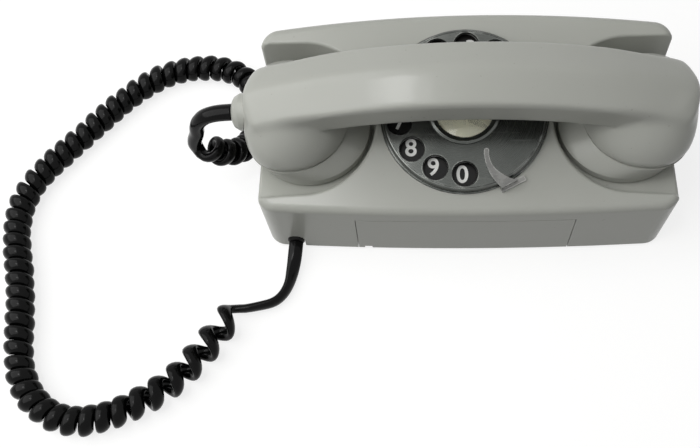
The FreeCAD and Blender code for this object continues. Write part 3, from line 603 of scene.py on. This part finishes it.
def makeFinish(name, f, c):
    material = bpy.data.materials.new(name)
    material.use_nodes = True
    tree = material.node_tree
    shader = tree.nodes["Principled BSDF"]
    shader.inputs["Metallic"].default_value = f.get("metal", 0.0)
    shader.inputs["Specular IOR Level"].default_value = f.get("gloss", 0.5)
    shader.inputs["Coat Weight"].default_value = f.get("coat", 0.0)
    shader.inputs["Coat Roughness"].default_value = c["coatRough"]
    place = tree.nodes.new("ShaderNodeTexCoord").outputs["Object"]
    patch = addNoise(tree, place, f["patch"], 5.0)
    grain = addNoise(tree, place, f["grain"], 3.0)
    share = addRange(tree, patch, c["patchFrom"], c["patchTo"], 0.0, 1.0)
    color = addMix(tree, share, f["base"], f["other"])
    smoothest = f["rough"] - f["roughSpread"] / 2
    roughest = f["rough"] + f["roughSpread"] / 2
    rough = addRange(tree, patch, c["patchFrom"], c["patchTo"], smoothest, roughest)
    height = grain
    if "specks" in f:
        speck = addNoise(tree, place, f["speckScale"], 1.0)
        dots = addRange(tree, speck, f["speckFrom"], f["speckFrom"] + c["speckSoft"], 0.0, c["speckShare"])
        gathered = addRange(tree, addNoise(tree, place, c["gatherScale"], 2.0), 0.45, 0.65, 0.15, 1.0)
        color = addMix(tree, addMath(tree, "MULTIPLY", dots, gathered), color, f["specks"])
    # edges painted lighter: partly wear, partly a painted highlight along the rounded edges
    if "wearAndHighlight" in f:
        broken = addRange(tree, addNoise(tree, place, c["wearAndHighlightBreak"], 4.0), 0.40, 0.62, 0.1, 1.0)
        wornAndHighlit = addMath(tree, "MULTIPLY", edgeMask(tree, c["wearAndHighlightReach"]), broken)
        wornAndHighlit = addMath(tree, "MULTIPLY", wornAndHighlit, f["wearAndHighlightShare"])
        color = addMix(tree, wornAndHighlit, color, f["wearAndHighlight"])
        rough = addMath(tree, "ADD", rough, addMath(tree, "MULTIPLY", wornAndHighlit, c["wearRough"]))
    if "scuff" in f:
        along = addStretched(tree, place, c["scuffStretch"], c["scuffTurn"])
        streaks = addNoise(tree, along, 1.0, 4.0)
        scuffed = addRange(tree, streaks, 0.60, 0.72, 0.0, f["scuff"])
        rough = addMath(tree, "ADD", rough, scuffed)
    if "spun" in f:
        lines = spunLines(tree, place, f["spun"])
        height = addMath(tree, "ADD", height, lines)
        rough = addMath(tree, "ADD", rough, addRange(tree, lines, 0.4, 0.7, 0.0, c["spunRough"]))
    tree.links.new(color, shader.inputs["Base Color"])
    tree.links.new(rough, shader.inputs["Roughness"])
    bump = tree.nodes.new("ShaderNodeBump")
    bump.inputs["Strength"].default_value = f["bump"]
    bump.inputs["Distance"].default_value = c["bumpDepth"]
    tree.links.new(height, bump.inputs["Height"])
    tree.links.new(bump.outputs["Normal"], shader.inputs["Normal"])
    return material


# clear cover over the dial's card, finely scratched
clearSetup = {
    "color": (0.93, 0.93, 0.88),
    "rough": 0.05,
    "ior": 1.49,
    "scratchStretch": (60.0, 900.0, 300.0),
    "scratchTurn": (0, 0, 0.6),
    "scratchRough": 0.18,
}


def makeClear(c):
    material = bpy.data.materials.new("clear_cover")
    material.use_nodes = True
    tree = material.node_tree
    shader = tree.nodes["Principled BSDF"]
    shader.inputs["Base Color"].default_value = (*c["color"], 1)
    shader.inputs["IOR"].default_value = c["ior"]
    shader.inputs["Transmission Weight"].default_value = 1.0
    place = tree.nodes.new("ShaderNodeTexCoord").outputs["Object"]
    scratch = addNoise(tree, addStretched(tree, place, c["scratchStretch"], c["scratchTurn"]), 1.0, 3.0)
    rough = addRange(tree, scratch, 0.58, 0.70, c["rough"], c["rough"] + c["scratchRough"])
    tree.links.new(rough, shader.inputs["Roughness"])
    # light passes straight through to the card below
    through = tree.nodes.new("ShaderNodeBsdfTransparent")
    pick = tree.nodes.new("ShaderNodeMixShader")
    tree.links.new(tree.nodes.new("ShaderNodeLightPath").outputs["Is Shadow Ray"], pick.inputs[0])
    tree.links.new(shader.outputs[0], pick.inputs[1])
    tree.links.new(through.outputs[0], pick.inputs[2])
    tree.links.new(pick.outputs[0], tree.nodes["Material Output"].inputs["Surface"])
    return material


def dress():
    made = {name: makeFinish(name, f, surfaceSetup) for name, f in finishes.items()}
    made["clear_cover"] = makeClear(clearSetup)
    for row in frame["record"]["subparts"]:
        node = nodes[row["node"]]
        for place in node.material_slots:
            place.material = made[row["material_slot"]]
    for name in ("card_ring", "dial_bezel_ring"):     # dark like the wheel
        for place in nodes[name].material_slots:
            place.material = made["wheel_grey"]
    cord.data.materials.clear()
    cord.data.materials.append(made["cord_black"])
    handset.data.materials.clear()
    handset.data.materials.append(made["housing_grey"])
    numbers.data.materials.clear()
    numbers.data.materials.append(made["number_white"])


dress()
print("finishes set")

# table top, backdrop and lamps
stageSetup = {
    "floor": (0.24, 0.24, 0.236),
    "floorSize": 8.0,
    "floorRough": 0.9,
    "glow": 0.79,           # lift of the floor to white, for the camera, mirrors and glass alone
    "sky": 0.23,
    "lamps": [
        # place, aim, size, watts
        ((-0.54, -0.09, 0.72), (-0.02, 0.0, 0.05), 1.0, 7.9),
        ((-0.26, -0.23, 1.05), (-0.08, -0.04, 0.05), 0.16, 0.92),
    ],
}


def seenRays(tree):
    # one for rays from the camera, from mirrors and through glass
    path = tree.nodes.new("ShaderNodeLightPath")
    seen = addMath(tree, "MAXIMUM", path.outputs["Is Camera Ray"], path.outputs["Is Glossy Ray"])
    return addMath(tree, "MAXIMUM", seen, path.outputs["Is Transmission Ray"])


def makeStage(c):
    deselect()
    bpy.ops.mesh.primitive_plane_add(size=c["floorSize"], location=(0, 0, 0))
    floor = bpy.context.object
    floor.name = "tableTop"
    material = bpy.data.materials.new("tableTop")
    material.use_nodes = True
    tree = material.node_tree
    shader = tree.nodes["Principled BSDF"]
    shader.inputs["Base Color"].default_value = (*c["floor"], 1)
    shader.inputs["Roughness"].default_value = c["floorRough"]
    shader.inputs["Emission Color"].default_value = (1, 1, 1, 1)
    lift = addMath(tree, "MULTIPLY", seenRays(tree), c["glow"])
    tree.links.new(lift, shader.inputs["Emission Strength"])
    floor.data.materials.append(material)

    world = bpy.data.worlds.new("studio")
    bpy.context.scene.world = world
    world.use_nodes = True
    tree = world.node_tree
    ground = tree.nodes["Background"]
    ground.inputs["Color"].default_value = (1, 1, 1, 1)
    tree.links.new(addRange(tree, seenRays(tree), 0.0, 1.0, c["sky"], 1.0), ground.inputs["Strength"])

    for n, (place, aim, size, watts) in enumerate(c["lamps"]):
        deselect()
        bpy.ops.object.light_add(type="AREA", location=place)
        lamp = bpy.context.object
        lamp.name = "softbox" + str(n + 1)
        lamp.data.size = size
        lamp.data.energy = watts
        lamp.rotation_euler = (Vector(aim) - Vector(place)).to_track_quat("-Z", "Y").to_euler()


makeStage(stageSetup)
print("stage set")
